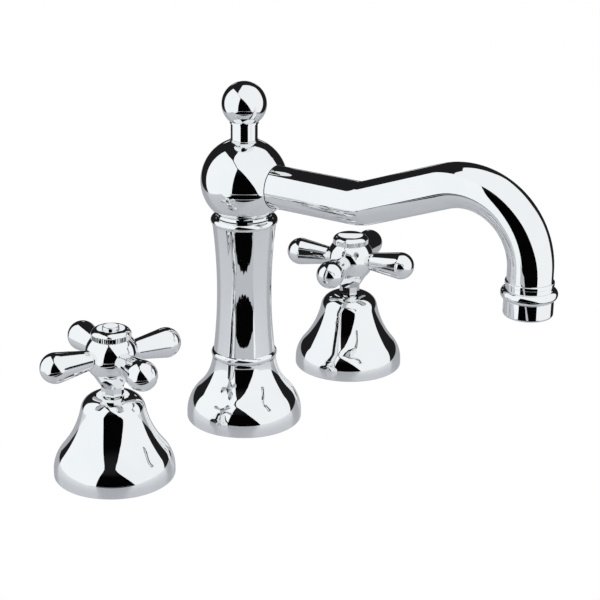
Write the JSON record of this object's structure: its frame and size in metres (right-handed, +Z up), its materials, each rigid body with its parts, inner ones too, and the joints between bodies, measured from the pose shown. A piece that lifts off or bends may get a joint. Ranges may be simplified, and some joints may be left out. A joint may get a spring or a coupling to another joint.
{
  "type": "three-hole basin mixer tap",
  "caption": "Deck-mounted basin mixer tap: a waisted column with a swivelling curved spout and a pop-up lift knob, flanked by cross-handle valves on bell covers.",
  "frame": {"origin": "on the top of the deck, at the axis of the spout's column", "axes": "+Z up along the column; +X from the hot valve to the cold valve; -Y towards the user, which is where the spout points when it is straight ahead"},
  "size_m": [0.2582, 0.2112, 0.3008],
  "materials": {
    "chrome": "polished chrome plate on brass",
    "brass": "machined, unplated",
    "steel": "stainless, turned",
    "rubber": "moulded, matt",
    "ceramic": "lapped alumina, semi-gloss",
    "acetal": "moulded acetal, satin",
    "index": "polished chrome plate, plain"
  },
  "bodies": {
    "root": {"spout_base": "chrome", "spout_gasket": "rubber", "spout_column": "chrome", "slide_ring": "acetal", "retaining_screw": "steel", "spout_shank": "brass", "spout_clamp_gasket": "rubber", "spout_clamp_washer": "steel", "spout_nut": "brass", "inlet_manifold": "brass", "manifold_seal": "rubber", "guide_tube": "brass", "hot_bell": "chrome", "hot_gasket": "rubber", "hot_top_nut": "brass", "hot_valve_body": "brass", "hot_clamp_gasket": "rubber", "hot_clamp_washer": "steel", "hot_backnut": "brass", "hot_cartridge": "brass", "hot_cartridge_seal": "rubber", "hot_fixed_disc": "ceramic", "cold_bell": "chrome", "cold_gasket": "rubber", "cold_top_nut": "brass", "cold_valve_body": "brass", "cold_clamp_gasket": "rubber", "cold_clamp_washer": "steel", "cold_backnut": "brass", "cold_cartridge": "brass", "cold_cartridge_seal": "rubber", "cold_fixed_disc": "ceramic"},
    "spout": {"swivel_head": "chrome", "swivel_o_rings": "rubber", "knob_bush": "chrome", "guide_o_ring": "rubber", "spout_tube": "chrome", "outlet_ring": "chrome", "aerator_shell": "chrome", "aerator_insert": "acetal", "aerator_washer": "rubber"},
    "lift": {"lift_knob": "chrome", "lift_rod": "steel"},
    "hot_handle": {"hot_handle": "chrome", "hot_cap": "chrome", "hot_grub_screw": "steel", "hot_handle_screw": "steel", "hot_spindle": "brass", "hot_spindle_o_rings": "rubber", "hot_moving_disc": "ceramic", "hot_index": "index"},
    "cold_handle": {"cold_handle": "chrome", "cold_cap": "chrome", "cold_grub_screw": "steel", "cold_handle_screw": "steel", "cold_spindle": "brass", "cold_spindle_o_rings": "rubber", "cold_moving_disc": "ceramic"}
  },
  "joints": [
    {"name": "spout_swivel", "type": "hinge", "parent": "root", "child": "spout", "pos_m": [0, 0, 0.102], "axis": [0, 0, 1], "range_deg": [-66.5, 53.5]},
    {"name": "knob_lift", "type": "slide", "parent": "root", "child": "lift", "axis": [0, 0, 1], "range_m": [0, 0.025]},
    {"name": "hot_turn", "type": "hinge", "parent": "root", "child": "hot_handle", "pos_m": [-0.093, 0.003, 0.0623], "axis": [0, 0, 1], "range_deg": [0, 90]},
    {"name": "cold_turn", "type": "hinge", "parent": "root", "child": "cold_handle", "pos_m": [0.093, 0.003, 0.0623], "axis": [0, 0, 1], "range_deg": [-90, 0]}
  ]
}
